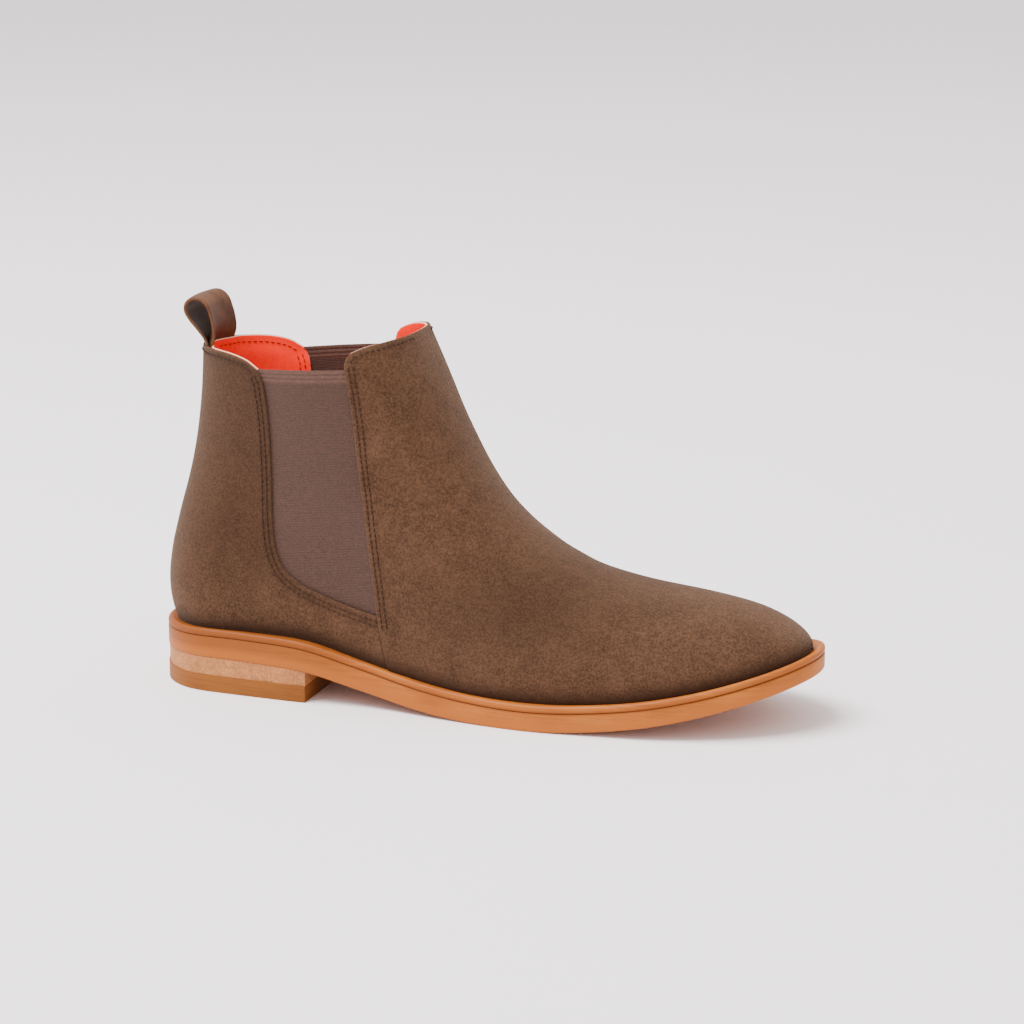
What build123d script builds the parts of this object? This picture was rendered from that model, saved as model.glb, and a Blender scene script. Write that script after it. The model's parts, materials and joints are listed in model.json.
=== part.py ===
from build123d import *
from math import cos, pi, sin, sqrt, hypot
import os

# Right chelsea boot, about EU 43. +X toe, +Z up, -Y outer (lateral) side.
# Stations are measured forward from the back of the heel; the frame's origin is on the floor,
# under the middle of the sole.
sole_length = 302
mid_x = sole_length / 2
mid_y = 2
sole_tip = 3
heel_length = 77
heel_round = 33.5
top_piece_thick = 7.5
lift_thick = 4.0
welt_thick = 3.2
welt_bead = 1.5
margin = 15
suede = 1.4
middle = 1.0
lining = 1.0
insole_thick = 2.4
sock_thick = 1.0
cushion_thick = 2.2
tab_width = 26
nail_radius = 1.1
nail_foot = 9
nail_length = 22
nail_places = [(26, -7.5), (26, 7.5), (32, 0), (44, -10.5), (44, 10.5)]

# (station, height) of the outsole's underside, and its thickness with the welt
underside = [(0, 15.5), (50, 15.5), (77, 13.8), (100, 8.2), (130, 2.4), (160, 0.1), (185, 0),
             (215, 2.3), (250, 8.8), (280, 17), (302, 24)]
sole_edge = [(0, 12.5), (77, 13.2), (130, 12.6), (160, 12), (215, 11.5), (302, 10.4)]
# (station, half width) of the outsole, outer and inner side
outer_edge = [(33, 33.5), (77, 37), (100, 36.6), (130, 41), (160, 46.5), (185, 49), (215, 47.5),
              (250, 41), (280, 29.5)]
inner_edge = [(33, 33.5), (77, 34.5), (100, 34.5), (130, 38.5), (160, 46), (190, 52), (215, 52.5),
              (250, 46.5), (280, 34.5)]
# (height, station) of the back and of the instep ridge
back_line = [(28, 3.8), (34, 2), (44, 0.6), (58, 1.8), (75, 5.8), (98, 11.6), (116, 15), (130, 16.8),
             (155, 18.3), (185, 18.8)]
ridge_line = [(34, 295.5), (36, 294.8), (39, 291.8), (42, 287.5), (46, 279.5), (50, 267), (53.5, 247),
              (56.5, 225), (61, 203), (68, 186.5), (77, 173.5), (87, 162.5), (101, 151.5),
              (120, 140.5), (143, 130), (165, 119.5), (185, 111)]
# (station, half width) of the lasted foot, and (height, half width) of the shaft
foot_outer = [(0, 31), (40, 31), (77, 31.5), (100, 32), (130, 36.5), (160, 42.5), (185, 45),
              (215, 44.5), (250, 43.5), (297, 43)]
foot_inner = [(0, 31), (40, 31), (77, 30), (100, 30), (130, 34), (160, 42), (190, 48), (220, 48),
              (250, 46), (297, 43)]
foot_axis = [(0, 0), (60, 0), (120, -1), (180, 0), (240, 1), (297, 2)]
shaft_half = [(28, 31), (60, 32), (90, 32), (110, 33), (130, 34), (150, 35.5), (185, 36.5)]
heights = [0, 12, 22, 30, 36, 40, 44, 48, 52, 56, 61, 67, 75, 85, 97, 112, 130, 150, 168, 182]

# side outlines of the pattern pieces: (station, height)
gore_rear = [(55.4, 146.7), (58.2, 129), (59.3, 97), (60.6, 76), (62.3, 65.5), (65.6, 58.6),
             (71.9, 53.3), (86.2, 47.3), (103, 42.6), (109.8, 41.2)]
gore_front = [(96.2, 149.6), (98.8, 131.7), (101.4, 104), (104.2, 79.6), (107.6, 56), (109.8, 41.2)]
vamp_seam = [(109.8, 41.2), (112, 30), (114.7, 8)]


def smooth(table, at):
    """Value of a station table, eased so that the slope runs on through each station."""
    at = min(max(at, table[0][0]), table[-1][0])
    i = 0
    while at > table[i + 1][0]:
        i += 1
    (x0, y0), (x1, y1) = table[i], table[i + 1]
    chord = (y1 - y0) / (x1 - x0)
    before = chord
    after = chord
    if i > 0:
        xp, yp = table[i - 1]
        before = ((x0 - xp) * chord + (x1 - x0) * (y0 - yp) / (x0 - xp)) / (x1 - xp)
    if i + 2 < len(table):
        xn, yn = table[i + 2]
        after = ((xn - x1) * chord + (x1 - x0) * (yn - y1) / (xn - x1)) / (xn - x0)
    h = x1 - x0
    u = (at - x0) / h
    rise = (u * u * (3 - 2 * u)) * (y1 - y0)
    return y0 + rise + h * u * (1 - u) * ((1 - u) * before - u * after)


def feather(at):
    """Height of the welt's top, where the upper meets it."""
    return smooth(underside, at) + smooth(sole_edge, at)


def shifted(table, inset, side):
    """A profile moved square to itself, for the layers under the suede."""
    moved = []
    for i, (z, x) in enumerate(table):
        za, xa = table[max(i - 1, 0)]
        zb, xb = table[min(i + 1, len(table) - 1)]
        run = hypot(zb - za, xb - xa)
        moved.append((z - inset * abs(xb - xa) / run * (side < 0), x + side * inset * (zb - za) / run))
    return moved


def ridge_height(ridge, x):
    low, high = ridge[0][0], ridge[-1][0]
    if x <= smooth(ridge, high):
        return 260
    for _ in range(40):
        half = (low + high) / 2
        if smooth(ridge, half) > x:
            low = half
        else:
            high = half
    return low


def foot_section(z, inset, count):
    """Closed outline of the lasted shape at one height."""
    back = shifted(back_line, inset, 1)
    ridge = shifted(ridge_line, inset, -1)
    x0 = smooth(back, z)
    x1 = smooth(ridge, max(z, ridge[0][0]))
    blend = min(max((z - 70) / 42, 0), 1)
    blend = blend * blend * (3 - 2 * blend)
    sides = ([], [])
    for k in range(count + 1):
        s = (1 - cos(pi * k / count)) / 2
        x = x0 + (x1 - x0) * s
        low = feather(x)
        high = max(ridge_height(ridge, x), low + 2)
        t = min(max((z - low) / (high - low), 0), 1)
        crown = 1 if z <= ridge[0][0] else sqrt(max(1 - t ** 2.2, 0))
        heel_cap = sqrt(1 - (1 - min((x - x0) / (heel_round - inset), 1)) ** 2)
        toe_cap = sqrt(max(1 - (1 - min((ridge[0][1] - x) / 75, 1)) ** 2, 0))
        tuck = 1.6 * max(0, 1 - max(z - low, 0) / 12) ** 2
        shaft = smooth(shaft_half, z) - inset
        shaft *= max(1 - abs(2 * s ** 1.6 - 1) ** 2.4, 0) ** (1 / 2.3)
        for side, table, sign in ((sides[0], foot_outer, -1), (sides[1], foot_inner, 1)):
            foot = (smooth(table, x) - inset - tuck) * heel_cap * toe_cap * crown
            y = (1 - blend) * (sign * foot + smooth(foot_axis, x)) + blend * sign * shaft
            side.append((x - mid_x, y - mid_y))
    if z <= ridge[0][0]:
        sides[0][-1] = (x1 - mid_x, smooth(foot_axis, x1) - mid_y)
    return sides[0] + sides[1][-2:0:-1]


def lasted(inset, count=13):
    """The whole closed shape of the boot's upper, inset from the suede's outside."""
    runs = [foot_section(z, inset, count) for z in heights]
    even = [0]
    for i in range(2 * count):
        step = sum(hypot(r[(i + 1) % len(r)][0] - r[i][0], r[(i + 1) % len(r)][1] - r[i][1]) for r in runs)
        even.append(even[-1] + step)
    with BuildPart() as form:
        for z, run in zip(heights, runs):
            with BuildSketch(Plane.XY.offset(z)):
                with BuildLine():
                    add(Edge.make_spline([Vector(x, y) for x, y in run], periodic=True,
                                         parameters=[e / even[-1] for e in even]))
                make_face()
        loft(ruled=True)
    return form.part


def side_prism(*runs, half_depth=90):
    """A cutter: a side outline carried right through the boot along Y. Runs of three points or
    more are curves; straight lines join the runs."""
    with BuildPart() as prism:
        with BuildSketch(Plane.XZ):
            with BuildLine():
                ends = []
                for run in runs:
                    points = [(x - mid_x, z) for x, z in run]
                    if len(points) > 2:
                        Spline(points)
                    elif len(points) == 2:
                        Line(*points)
                    ends.append((points[0], points[-1]))
                for (_, last), (first, _) in zip(ends, ends[1:] + ends[:1]):
                    if hypot(last[0] - first[0], last[1] - first[1]) > 0.01:
                        Line(last, first)
            make_face()
        extrude(amount=half_depth, both=True)
    return prism.part


def over(height, lift=0.0):
    """Everything above a surface that is straight across the boot."""
    run = [(x, height(x) + lift) for x in (-15, 10, 40, 60, 77, 95, 115, 135, 160, 185, 215, 250, 280, 318)]
    return side_prism(run, [(318, 230)], [(-15, 230)])


def sole_outline(inset=0):
    """Plan of the outsole's edge, as one closed run of points."""
    r = heel_round - inset
    tip = sole_length - inset
    outer = []
    inner = []
    for k in range(4):
        a = pi / 2 * k / 4
        outer.append((heel_round - r * cos(a), -r * sin(a)))
        inner.append((heel_round - r * cos(a), r * sin(a)))
    for x in (34, 55, 77, 100, 130, 160, 187, 215, 250):
        outer.append((x, inset - smooth(outer_edge, x)))
        inner.append((x, smooth(inner_edge, x) - inset))
    for k in range(5):
        a = pi / 2 * k / 5
        x = 280 + (tip - 280) * sin(a)
        outer.append((x, sole_tip - (29.5 + sole_tip - inset) * cos(a) ** 1.06))
        inner.append((x, sole_tip + (34.5 - sole_tip - inset) * cos(a) ** 1.06))
    ring = outer + [(tip, sole_tip)] + inner[:0:-1]
    return [(x - mid_x, y - mid_y) for x, y in ring]


def sole_block(inset, top=60):
    with BuildPart() as block:
        with BuildSketch(Plane.XY.offset(-5)):
            with BuildLine():
                Spline(sole_outline(inset), periodic=True)
            make_face()
        extrude(amount=top + 5)
    return block.part


os.makedirs("parts", exist_ok=True)

# Cutters shared by the layers
under_topline = side_prism([(-20, 152.6), (30, 152.6)], [(30.1, 152.6), (40, 151.8), (48, 149.8), (53.5, 146.5)],
                           [(96.2, 149.5), (97, 154.5)],
                           [(97, 154.5), (101.5, 158.3), (112, 161.5), (120, 163.5), (150, 170)],
                           [(330, 170)], [(330, -10)], [(-20, -10)])
gore_window = side_prism([(55.4, 170), (55.4, 146.7)], gore_rear, gore_front[::-1], [(96.2, 170)])
gore_cover = side_prism([(46.5, 170), (46.8, 147)],
                        [(46.8, 147), (50.4, 97), (51.8, 75), (53.7, 64), (58.2, 53.6), (66.9, 46.2),
                         (83.2, 39.5), (101, 34.8), (112, 32.8)], [(118.9, 33.8)],
                        [(118.9, 33.8), (116.4, 57), (110.6, 104), (105.2, 150)], [(105, 170)])
front_side = side_prism(gore_front, vamp_seam, [(330, 0)], [(330, 220)], [(96.2, 220)])
margin_hole = sole_block(margin + 4.5)

heel_side = side_prism([(-20, -10)], [(heel_length, -10)], [(heel_length, 60)], [(-20, 60)])
under_counter = side_prism([(-20, -10)], [(330, -10)], [(330, 72)], [(-20, 72)])
toe_side = side_prism([(238, -10)], [(330, -10)], [(330, 220)], [(238, 220)])
filler_split = 152
waist_side = side_prism([(-20, -10)], [(filler_split, -10)], [(filler_split, 60)], [(-20, 60)])
with BuildPart() as outer_half:
    with Locations((0, -100 - mid_y, 100)):
        Box(400, 200, 300)
outer_half = outer_half.part


def floor(x):
    return smooth(underside, x)


# Solid forms, one inside the other, and the three layers between them
layers = [0, suede, suede + middle, suede + middle + lining]
forms = [lasted(t) & over(feather, t) for t in layers]
shells = [(whole - hollow - margin_hole) & under_topline for whole, hollow in zip(forms, forms[1:])]
suede_shell, middle_shell, lining_shell = shells
rear_suede = suede_shell - front_side - gore_window
stiffening = middle_shell - gore_cover
gores = middle_shell & gore_cover
rear_stiffening = stiffening - front_side
front_stiffening = stiffening & front_side
welt_top = over(feather)
welt_foot = over(feather, -welt_thick)
insole_foot = over(feather, layers[3])
insole_top = over(feather, layers[3] + insole_thick)

with BuildPart() as heel_nails:
    with Locations(*[(x - mid_x, y - mid_y, nail_foot) for x, y in nail_places]):
        Cylinder(nail_radius, nail_length, align=(Align.CENTER, Align.CENTER, Align.MIN))
nails = heel_nails.part

with BuildPart() as heel_top_piece:
    add(sole_block(0, top_piece_thick))
    add(heel_side, mode=Mode.INTERSECT)
    with Locations((0, 0, -50)):
        Box(400, 200, 100, mode=Mode.SUBTRACT)

with BuildPart() as heel_lift_lower:
    add(sole_block(0.4, top_piece_thick + lift_thick))
    add(heel_side, mode=Mode.INTERSECT)
    add(sole_block(-5, top_piece_thick), mode=Mode.SUBTRACT)
    add(nails, mode=Mode.SUBTRACT)

with BuildPart() as heel_lift_upper:
    add(sole_block(0.4, 30))
    add(heel_side, mode=Mode.INTERSECT)
    add(sole_block(-5, top_piece_thick + lift_thick), mode=Mode.SUBTRACT)
    add(over(floor), mode=Mode.SUBTRACT)
    add(nails, mode=Mode.SUBTRACT)

with BuildPart() as outsole:
    add(sole_block(0))
    add(over(floor), mode=Mode.INTERSECT)
    add(welt_foot, mode=Mode.SUBTRACT)
    add(nails, mode=Mode.SUBTRACT)

with BuildPart() as welt:
    add(sole_block(0))
    add(over(feather, -welt_bead), mode=Mode.SUBTRACT)
    add(sole_block(welt_bead * 0.6))
    add(welt_foot, mode=Mode.INTERSECT)
    add(welt_top, mode=Mode.SUBTRACT)
    add(margin_hole, mode=Mode.SUBTRACT)

with BuildPart() as shank:
    with BuildSketch(Plane.XY.offset(0)):
        with Locations((100 - mid_x, -mid_y)):
            SlotOverall(100, 12)
    extrude(amount=60)
    add(over(feather, 0.6), mode=Mode.INTERSECT)
    add(over(feather, 2.2), mode=Mode.SUBTRACT)

with BuildPart() as waist_filler:
    add(margin_hole)
    add(welt_foot, mode=Mode.INTERSECT)
    add(insole_foot, mode=Mode.SUBTRACT)
    add(waist_side, mode=Mode.INTERSECT)
    add(shank.part, mode=Mode.SUBTRACT)
    add(nails, mode=Mode.SUBTRACT)

with BuildPart() as forefoot_filler:
    add(margin_hole)
    add(welt_foot, mode=Mode.INTERSECT)
    add(insole_foot, mode=Mode.SUBTRACT)
    add(waist_side, mode=Mode.SUBTRACT)

with BuildPart() as heel_cushion:
    add(sole_block(13))
    with Locations((27 - mid_x, 0, 30)):
        Box(70, 120, 60, mode=Mode.INTERSECT)
    add(over(feather, layers[3] + insole_thick - cushion_thick), mode=Mode.INTERSECT)
    add(insole_top, mode=Mode.SUBTRACT)

with BuildPart() as insole_board:
    add(forms[3])
    add(insole_top, mode=Mode.SUBTRACT)
    add(heel_cushion.part, mode=Mode.SUBTRACT)

with BuildPart() as sock_liner:
    add(forms[3])
    add(insole_top, mode=Mode.INTERSECT)
    add(over(feather, layers[3] + insole_thick + sock_thick), mode=Mode.SUBTRACT)

with BuildPart() as vamp:
    add(suede_shell)
    add(front_side, mode=Mode.INTERSECT)

with BuildPart() as quarter_lateral:
    add(rear_suede)
    add(outer_half, mode=Mode.INTERSECT)

with BuildPart() as quarter_medial:
    add(rear_suede)
    add(outer_half, mode=Mode.SUBTRACT)

with BuildPart() as gore_lateral:
    add(gores)
    add(outer_half, mode=Mode.INTERSECT)

with BuildPart() as gore_medial:
    add(gores)
    add(outer_half, mode=Mode.SUBTRACT)

with BuildPart() as pull_tab_ends:
    with Locations((20 - mid_x, -mid_y, 140)):
        Box(40, tab_width, 26)
    add(rear_stiffening, mode=Mode.INTERSECT)

with BuildPart() as heel_counter:
    add(rear_stiffening)
    add(under_counter, mode=Mode.INTERSECT)

with BuildPart() as quarter_interlining:
    add(rear_stiffening)
    add(under_counter, mode=Mode.SUBTRACT)
    add(pull_tab_ends.part, mode=Mode.SUBTRACT)

with BuildPart() as vamp_interlining:
    add(front_stiffening)
    add(toe_side, mode=Mode.SUBTRACT)

with BuildPart() as toe_puff:
    add(front_stiffening)
    add(toe_side, mode=Mode.INTERSECT)

with BuildPart() as vamp_lining:
    add(lining_shell)
    add(front_side, mode=Mode.INTERSECT)

with BuildPart() as quarter_lining:
    add(lining_shell)
    add(front_side, mode=Mode.SUBTRACT)
    add(gore_window, mode=Mode.SUBTRACT)

# One strip folded into a loop, wide along Y, its foot rounded about the fold line
loop_out = [(21.8, 153.2), (19.9, 154.6), (16.8, 158.8), (13.6, 163.1), (11.8, 167.4), (12.6, 171.3),
            (15.9, 173.8), (20.3, 173.7), (23.7, 170.8), (25, 166), (24.9, 159.8), (23.7, 154.8)]
loop_in = [(21.9, 157.8), (19.4, 160.4), (15.8, 164.1), (13.5, 167.6), (14, 170.3), (16.4, 172.2),
           (19.8, 172.1), (22.2, 169.8), (23.4, 165.8), (23.2, 160.2)]
with BuildPart() as pull_tab_loop:
    with BuildSketch(Plane.XZ.offset(mid_y)):
        with BuildLine():
            Spline([(x - mid_x, z) for x, z in loop_out], periodic=True)
        make_face()
        with BuildLine():
            Spline([(x - mid_x, z) for x, z in loop_in], periodic=True)
        make_face(mode=Mode.SUBTRACT)
    extrude(amount=tab_width / 2, both=True)

pieces = {
    "outsole": outsole, "welt": welt, "heel_lift_lower": heel_lift_lower,
    "heel_lift_upper": heel_lift_upper, "heel_top_piece": heel_top_piece, "heel_nails": heel_nails,
    "insole_board": insole_board, "shank": shank, "waist_filler": waist_filler,
    "forefoot_filler": forefoot_filler, "heel_cushion": heel_cushion, "sock_liner": sock_liner,
    "vamp": vamp, "quarter_lateral": quarter_lateral, "quarter_medial": quarter_medial,
    "gore_lateral": gore_lateral, "gore_medial": gore_medial, "vamp_lining": vamp_lining,
    "quarter_lining": quarter_lining, "heel_counter": heel_counter, "toe_puff": toe_puff,
    "vamp_interlining": vamp_interlining, "quarter_interlining": quarter_interlining,
    "pull_tab_ends": pull_tab_ends, "pull_tab_loop": pull_tab_loop,
}
for name, piece in pieces.items():
    piece.part.label = name
    export_step(piece.part, f"parts/{name}.step")
    print(name, round(piece.part.volume), len(piece.part.solids()), flush=True)
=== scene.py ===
import json
from math import cos, pi, radians, sin

import bmesh
import bpy
import numpy as np
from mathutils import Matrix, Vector
from mathutils.bvhtree import BVHTree


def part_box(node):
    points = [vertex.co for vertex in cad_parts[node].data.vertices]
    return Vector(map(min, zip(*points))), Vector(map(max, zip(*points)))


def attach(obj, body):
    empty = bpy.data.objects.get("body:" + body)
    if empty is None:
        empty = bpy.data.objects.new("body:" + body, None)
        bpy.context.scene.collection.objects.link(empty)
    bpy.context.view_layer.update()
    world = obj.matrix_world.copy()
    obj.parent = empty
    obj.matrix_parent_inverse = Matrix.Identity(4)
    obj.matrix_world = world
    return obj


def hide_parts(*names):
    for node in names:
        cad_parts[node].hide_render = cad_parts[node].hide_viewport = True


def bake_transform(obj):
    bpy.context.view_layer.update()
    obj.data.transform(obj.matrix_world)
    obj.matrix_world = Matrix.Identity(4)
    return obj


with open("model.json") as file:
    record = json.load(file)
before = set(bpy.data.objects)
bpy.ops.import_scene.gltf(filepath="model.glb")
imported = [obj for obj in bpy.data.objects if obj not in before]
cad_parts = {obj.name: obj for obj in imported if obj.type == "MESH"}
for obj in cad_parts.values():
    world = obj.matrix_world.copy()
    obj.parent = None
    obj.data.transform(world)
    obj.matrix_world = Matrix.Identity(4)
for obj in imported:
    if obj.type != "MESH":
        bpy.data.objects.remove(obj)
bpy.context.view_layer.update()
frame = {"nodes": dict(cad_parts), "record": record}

mm = 0.001

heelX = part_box("outsole")[0].x / mm  # back of the heel in the row frame
axisY = sum(corner.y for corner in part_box("pull_tab_loop")) / 2 / mm  # the last's own middle line
heelRound = 33.5  # radius of the heel's outline
tipX, tipZ = 295.5, 34.0  # foremost point of the upper
last = dict(  # side outlines and half widths in mm, at stations forward from the back of the heel
    underside=[(0, 15.5), (50, 15.5), (77, 13.8), (100, 8.2), (130, 2.4), (160, 0.1), (185, 0), (215, 2.3),
               (250, 8.8), (280, 17), (302, 24)],
    edge=[(0, 12.5), (77, 13.2), (130, 12.6), (160, 12), (215, 11.5), (302, 10.4)],
    outer=[(33, 33.5), (77, 37), (100, 36.6), (130, 41), (160, 46.5), (185, 49), (215, 47.5), (250, 41),
           (280, 29.5)],
    inner=[(33, 33.5), (77, 34.5), (100, 34.5), (130, 38.5), (160, 46), (190, 52), (215, 52.5), (250, 46.5),
           (280, 34.5)],
    back=[(28, 3.8), (34, 2), (44, 0.6), (58, 1.8), (75, 5.8), (98, 11.6), (116, 15), (130, 16.8),
          (155, 18.3), (185, 18.8)],
    ridge=[(34, 295.5), (36, 294.8), (39, 291.8), (42, 287.5), (46, 279.5), (50, 267), (53.5, 247),
           (56.5, 225), (61, 203), (68, 186.5), (77, 173.5), (87, 162.5), (101, 151.5), (120, 140.5),
           (143, 130), (165, 119.5), (185, 111)],
    footOuter=[(0, 31), (40, 31), (77, 31.5), (100, 32), (130, 36.5), (160, 42.5), (185, 45), (215, 44.5),
               (250, 43.5), (297, 43)],
    footInner=[(0, 31), (40, 31), (77, 30), (100, 30), (130, 34), (160, 42), (190, 48), (220, 48), (250, 46),
               (297, 43)],
    axis=[(0, 0), (60, 0), (120, -1), (180, 0), (240, 1), (297, 2)],
    shaft=[(28, 31), (60, 32), (90, 32), (110, 33), (130, 34), (150, 35.5), (185, 36.5)],
)


def along(table, at):
    # eased value of a table of stations, for an array of places
    table = np.array(table, float)
    xs, ys = table[:, 0], table[:, 1]
    at = np.clip(np.asarray(at, float), xs[0], xs[-1])
    step = np.diff(xs)
    chord = np.diff(ys) / step
    slope = np.empty(len(xs))
    slope[0], slope[-1] = chord[0], chord[-1]
    slope[1:-1] = (step[:-1] * chord[1:] + step[1:] * chord[:-1]) / (step[:-1] + step[1:])
    i = np.clip(np.searchsorted(xs, at, side="right") - 1, 0, len(step) - 1)
    u = (at - xs[i]) / step[i]
    swing = step[i] * u * (1 - u) * ((1 - u) * slope[i] - u * slope[i + 1])
    return ys[i] + u * u * (3 - 2 * u) * (ys[i + 1] - ys[i]) + swing


def ease(low, high, value):
    # 0 below low, 1 above high, eased between
    u = np.clip((np.asarray(value, float) - low) / (high - low), 0, 1)
    return u * u * (3 - 2 * u)


def floorAt(x):
    # height of the outsole's underside
    return along(last["underside"], x)


def feather(x):
    # height of the line where the upper meets the welt
    return floorAt(x) + along(last["edge"], x)


ridgeZ = np.linspace(tipZ, last["ridge"][-1][0], 900)
ridgeX = along(last["ridge"], ridgeZ)


def ridgeHeight(x):
    return np.interp(-np.asarray(x, float), -ridgeX, ridgeZ, left=ridgeZ[0], right=260)


def halfWidth(x, z, side):
    # y of the suede's outside at a place in the side view; side is -1 outer, 1 inner
    x, z = np.asarray(x, float), np.asarray(z, float)
    start = along(last["back"], z)
    end = along(last["ridge"], z)
    upright = ease(70, 112, z)  # 0 on the foot, 1 on the shaft
    s = np.clip((x - start) / (end - start), 0, 1)
    low = feather(x)
    high = np.maximum(ridgeHeight(x), low + 0.5)
    t = np.clip((z - low) / (high - low), 0, 1)
    crown = np.sqrt(np.maximum(1 - t ** 2.2, 0))
    heelCap = np.sqrt(np.maximum(1 - (1 - np.clip((x - start) / heelRound, 0, 1)) ** 2, 0))
    toeCap = np.sqrt(np.maximum(1 - (1 - np.clip((tipX - x) / 75, 0, 1)) ** 2, 0))
    tuck = 1.6 * np.clip(1 - np.maximum(z - low, 0) / 12, 0, 1) ** 2
    foot = along(last["footOuter" if side < 0 else "footInner"], x) - tuck
    foot = foot * heelCap * toeCap * crown
    centred = 2 * s ** (1.25 + 0.35 * ease(0, 0.55, s)) - 1  # -1 at the back of the shaft, 1 at its front
    shaft = along(last["shaft"], z) * np.maximum(1 - np.abs(centred) ** 2.4, 0) ** (1 / 2.3)
    return (1 - upright) * (side * foot + along(last["axis"], x)) + upright * side * shaft


def place(x, y, z):
    # heel stations to the row frame, still in mm
    return np.stack([np.asarray(x) + heelX, np.asarray(y) + axisY, np.asarray(z) + 0 * np.asarray(x)], -1)


def polyline(points, count=240):
    # a denser run through a few side-view points
    points = np.array(points, float)
    run = np.r_[0, np.cumsum(np.hypot(*np.diff(points, axis=0).T))]
    at = np.linspace(0, run[-1], count)
    return np.stack([along(np.c_[run, points[:, 0]], at), along(np.c_[run, points[:, 1]], at)], -1)


def pick(path, u):
    # points at the fractions u of a dense run's length
    run = np.r_[0, np.cumsum(np.hypot(*np.diff(path, axis=0).T))]
    at = np.asarray(u) * run[-1]
    return np.stack([np.interp(at, run, path[:, 0]), np.interp(at, run, path[:, 1])], -1)


def coons(left, right, low, high, us, vs):
    # fills the side-view area between four runs; left and right go up, low and high go forward
    lowPts, highPts = pick(low, us), pick(high, us)
    leftPts, rightPts = pick(left, vs), pick(right, vs)
    u, v = us[:, None, None], vs[None, :, None]
    ruled = (1 - v) * lowPts[:, None] + v * highPts[:, None]
    sides = (1 - u) * leftPts[None] + u * rightPts[None]
    corner = ((1 - u) * (1 - v) * lowPts[0] + u * (1 - v) * lowPts[-1] + (1 - u) * v * highPts[0]
              + u * v * highPts[-1])
    return ruled + sides - corner


topBackZ = 152.6
outline = dict(  # edges of the pattern pieces in the side view
    topBack=[(30, 152.5), (40, 151.8), (48, 149.8), (53.5, 146.6)],
    topFront=[(96.2, 149.6), (96.6, 153.6), (98.3, 156.4), (101.5, 158.3), (106, 160.1), (112, 161.6)],
    goreRear=[(53.5, 146.6), (55.6, 143.5), (57.4, 135), (58.4, 124), (59.3, 97), (60.6, 76), (62.3, 65.5),
              (65.6, 58.6), (71.9, 53.3), (86.2, 47.3), (103, 42.6), (109.8, 41.2)],
    goreFront=[(109.8, 41.2), (107.6, 56), (104.2, 79.6), (101.4, 104), (98.8, 131.7), (96.2, 149.6)],
    seam=[(114.9, 16), (112.4, 29), (109.8, 41.2)],
)
under = 1.0  # how far the upper runs down behind the welt
seamFoot = outline["seam"][0][0]  # station where the side seam ends
heelFoot = 3.9  # station where the back's outline ends
ridgeRun = np.stack([ridgeX, ridgeZ], -1)
frontTop = (float(along(last["ridge"], 163.4)), 163.4)
backZ = np.linspace(last["back"][0][0] - under, topBackZ, 200)
backRun = np.stack([along(last["back"], backZ), backZ], -1)
tip = np.array([tipX, tipZ])


def lowRun(start, end):
    # the upper's lower edge between two stations
    x = np.linspace(start, end, 200)
    return np.stack([x, feather(x) - under], -1)


def meshOf(name, verts, faces):
    mesh = bpy.data.meshes.new(name)
    mesh.from_pydata([tuple(v * mm) for v in verts], [], faces)
    mesh.validate()
    obj = bpy.data.objects.new(name, mesh)
    bpy.context.collection.objects.link(obj)
    return obj


def clean(obj, gap=0.01, smoothAngle=40):
    # merges what meets, turns faces outward and shades smooth up to an angle
    mesh = obj.data
    bm = bmesh.new()
    bm.from_mesh(mesh)
    bmesh.ops.remove_doubles(bm, verts=bm.verts, dist=gap * mm)
    bmesh.ops.dissolve_degenerate(bm, edges=bm.edges, dist=0.002 * mm)
    bmesh.ops.recalc_face_normals(bm, faces=bm.faces)
    bm.to_mesh(mesh)
    bm.free()
    for p in mesh.polygons:
        p.use_smooth = True
    mesh.set_sharp_from_angle(angle=radians(smoothAngle))
    return obj


def setMark(obj, name, values):
    # one value per vertex, for the paints to read
    layer = obj.data.attributes.get(name) or obj.data.attributes.new(name, "FLOAT", "POINT")
    layer.data.foreach_set("value", np.asarray(values, np.float32))


def spots(obj):
    # every vertex in mm
    at = np.empty(len(obj.data.vertices) * 3)
    obj.data.vertices.foreach_get("co", at)
    return at.reshape(-1, 3) / mm


def gridNormals(grid):
    # unit normals of a grid of points, from the runs each way
    du = np.gradient(grid, axis=0)
    dv = np.gradient(grid, axis=1)
    n = np.cross(du, dv)
    return n / np.maximum(np.linalg.norm(n, axis=-1, keepdims=True), 1e-9)


def waves(points, seed, size, depth):
    # soft uneven swell for leather, from a few sine waves in fixed random directions
    rng = np.random.default_rng(seed)
    total = np.zeros(points.shape[:-1])
    for _ in range(7):
        way = rng.normal(size=3)
        way *= 2 * pi / (size * rng.uniform(0.7, 1.6)) / np.linalg.norm(way)
        total += np.sin(points @ way + rng.uniform(0, 2 * pi))
    return total * depth / 3


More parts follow.
